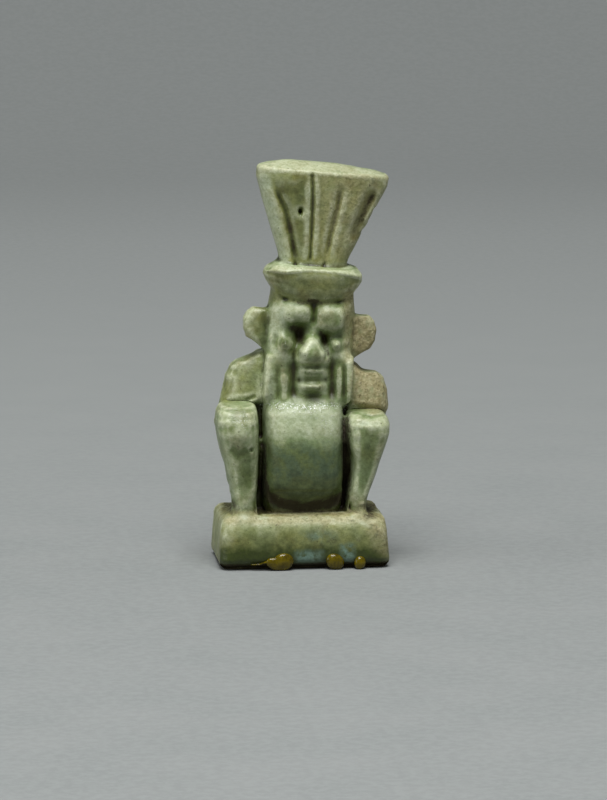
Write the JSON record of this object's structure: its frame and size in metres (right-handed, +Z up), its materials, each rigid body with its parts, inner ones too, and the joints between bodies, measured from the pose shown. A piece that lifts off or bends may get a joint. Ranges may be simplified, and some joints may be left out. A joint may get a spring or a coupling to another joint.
{
  "type": "deity amulet",
  "caption": "Small glazed amulet of a squatting lion-maned dwarf god with a tall plumed crown, on a block plinth, pierced at the back for a cord.",
  "frame": {"origin": "middle of the plinth's flat underside", "axes": "+Z up from the plinth to the plumes, -Y the way the figure faces, +X to the figure's left"},
  "size_m": [0.0142, 0.0093, 0.0324],
  "materials": {
    "faience": "green faience glaze, glossy and darker where it pooled, worn matt and tan on one shoulder and ear",
    "dried_glue": "old amber adhesive, hard and shiny"
  },
  "bodies": {
    "root": {"amulet": "faience", "dried_glue_left": "dried_glue", "dried_glue_middle": "dried_glue", "dried_glue_right": "dried_glue"}
  },
  "joints": []
}
